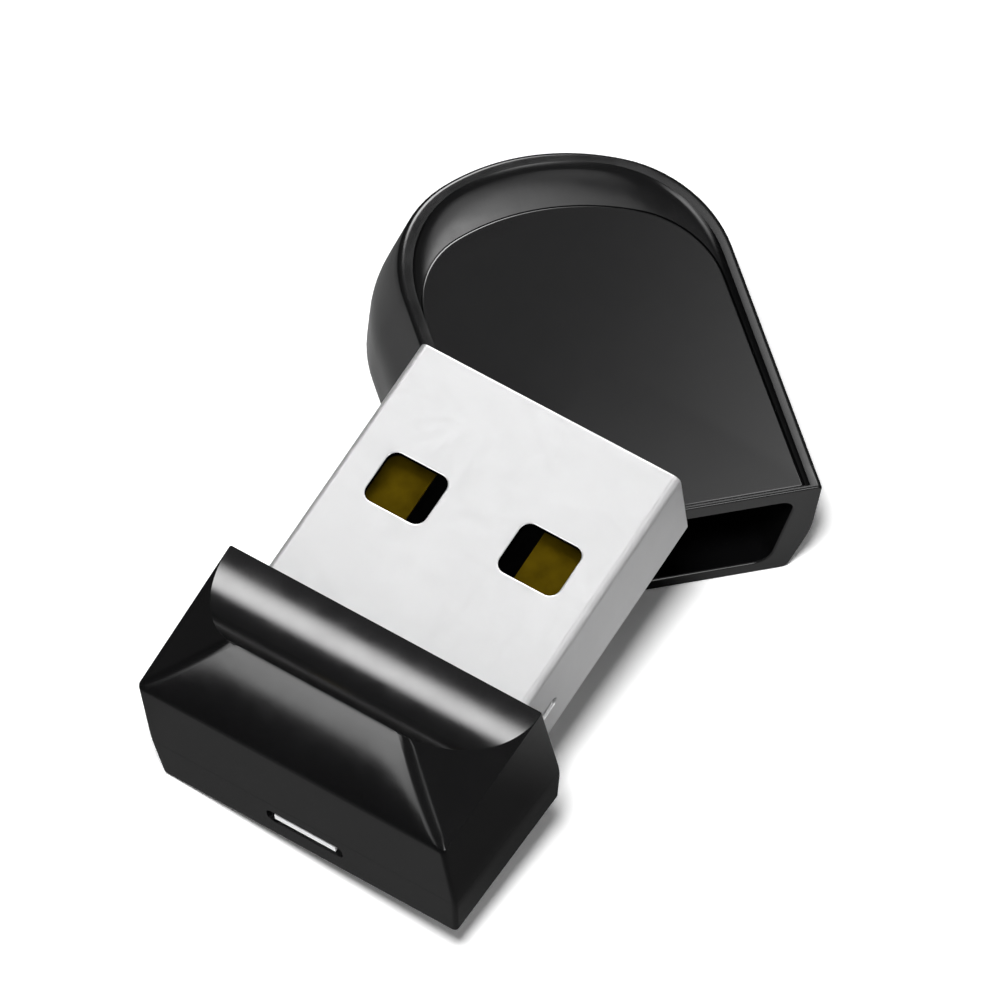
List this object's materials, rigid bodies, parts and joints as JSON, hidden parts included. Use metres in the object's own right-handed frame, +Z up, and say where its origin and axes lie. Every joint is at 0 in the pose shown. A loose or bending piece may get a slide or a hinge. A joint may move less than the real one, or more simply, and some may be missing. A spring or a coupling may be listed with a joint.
{
  "type": "usb flash drive",
  "caption": "Compact capped flash drive with a steel plug; the separate D-shaped cap lies flat and the drive leans on its rim, as left after opening.",
  "frame": {"origin": "on the cap's flat underside, midway along the cap and between its sides, at floor level", "axes": "+Z up from the floor; +Y along the cap from its mouth to its rounded nose; +X to the cap's right as seen from its mouth"},
  "size_m": [0.0309, 0.0323, 0.0128],
  "materials": {
    "housing_plastic": "gloss black",
    "cap_plastic": "satin gloss black",
    "panel_plastic": "gloss black",
    "plug_steel": "satin nickel plate",
    "carrier_plastic": "matt black",
    "board_laminate": "black solder mask",
    "gold_plate": "thin gold plate",
    "chip_epoxy": "moulded epoxy",
    "chip_ceramic": "fired ceramic",
    "crystal_can": "pressed can",
    "led_lens": "clear lens",
    "guide_plastic": "frosted clear"
  },
  "bodies": {
    "drive": {"housing_upper": "housing_plastic", "housing_lower": "housing_plastic", "plug_shell": "plug_steel", "board_carrier": "carrier_plastic", "circuit_board": "board_laminate", "ground_strip_left": "gold_plate", "ground_strip_right": "gold_plate", "contact_vbus": "gold_plate", "contact_data_minus": "gold_plate", "contact_data_plus": "gold_plate", "contact_ground": "gold_plate", "memory_chip": "chip_epoxy", "controller_chip": "chip_epoxy", "resistors": "chip_epoxy", "capacitors": "chip_ceramic", "crystal": "crystal_can", "status_led": "led_lens", "light_guide": "guide_plastic"},
    "cap": {"cap_shell": "cap_plastic", "cap_panel": "panel_plastic"}
  },
  "joints": [
    {"name": "cap_slide", "type": "slide", "parent": "drive", "child": "cap", "axis": [0, 1, 0], "range_m": [0, 0.0125]}
  ]
}
